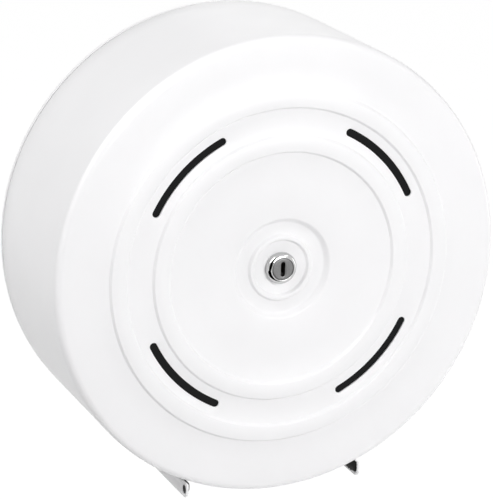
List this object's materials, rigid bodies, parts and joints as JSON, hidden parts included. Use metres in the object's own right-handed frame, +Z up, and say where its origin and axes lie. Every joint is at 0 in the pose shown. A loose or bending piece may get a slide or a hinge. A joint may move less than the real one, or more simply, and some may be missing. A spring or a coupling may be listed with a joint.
{
  "type": "jumbo toilet roll dispenser",
  "caption": "Wall-mounted round steel drum for a jumbo toilet roll, with curved sight slots, pressed rings, a central cam lock and an outlet with toothed cheeks underneath.",
  "frame": {"origin": "on the drum's axis, in the plane of the wall, at the centre of the four wall screw slots", "axes": "+Z up, +Y into the wall along the drum's axis, so the front faces -Y; +X to the right seen from the front"},
  "size_m": [0.313, 0.122, 0.313],
  "materials": {
    "white_paint": "gloss white powder coat",
    "zinc_plate": "bright zinc plate",
    "chrome": "polished",
    "black_plastic": "satin moulded",
    "smoked_plastic": "dark smoked",
    "hub_plastic": "satin moulded",
    "nylon": "natural nylon",
    "brass": "turned"
  },
  "bodies": {
    "base": {"back_plate": "white_paint", "left_cheek": "white_paint", "right_cheek": "white_paint", "cheek_rivets": "zinc_plate", "left_tear_blade": "black_plastic", "right_tear_blade": "black_plastic", "spindle_flange": "zinc_plate", "flange_rivets": "zinc_plate", "spindle_tube": "zinc_plate", "rear_thrust_washer": "nylon", "front_thrust_washer": "nylon", "spindle_circlip": "zinc_plate", "lock_catch": "brass", "catch_pin": "zinc_plate"},
    "hub": {"roll_hub": "hub_plastic", "rear_hub_bush": "nylon", "front_hub_bush": "nylon"},
    "cover": {"cover_shell": "white_paint", "sight_window": "smoked_plastic", "window_studs": "zinc_plate", "window_clips": "zinc_plate", "lock_body": "chrome", "lock_washer": "zinc_plate", "lock_nut": "zinc_plate"},
    "lock": {"lock_plug": "chrome", "lock_wafers": "brass", "lock_cam": "zinc_plate", "cam_washer": "zinc_plate", "cam_screw": "zinc_plate"}
  },
  "joints": [
    {"name": "cover_slide", "type": "slide", "parent": "base", "child": "cover", "axis": [0, -1, 0], "range_m": [0, 0.13]},
    {"name": "lock_turn", "type": "hinge", "parent": "cover", "child": "lock", "pos_m": [0, -0.11, 0], "axis": [0, 1, 0], "range_deg": [0, 90]},
    {"name": "hub_spin", "type": "hinge", "parent": "base", "child": "hub", "pos_m": [0, -0.05, 0], "axis": [0, 1, 0], "continuous": true}
  ]
}
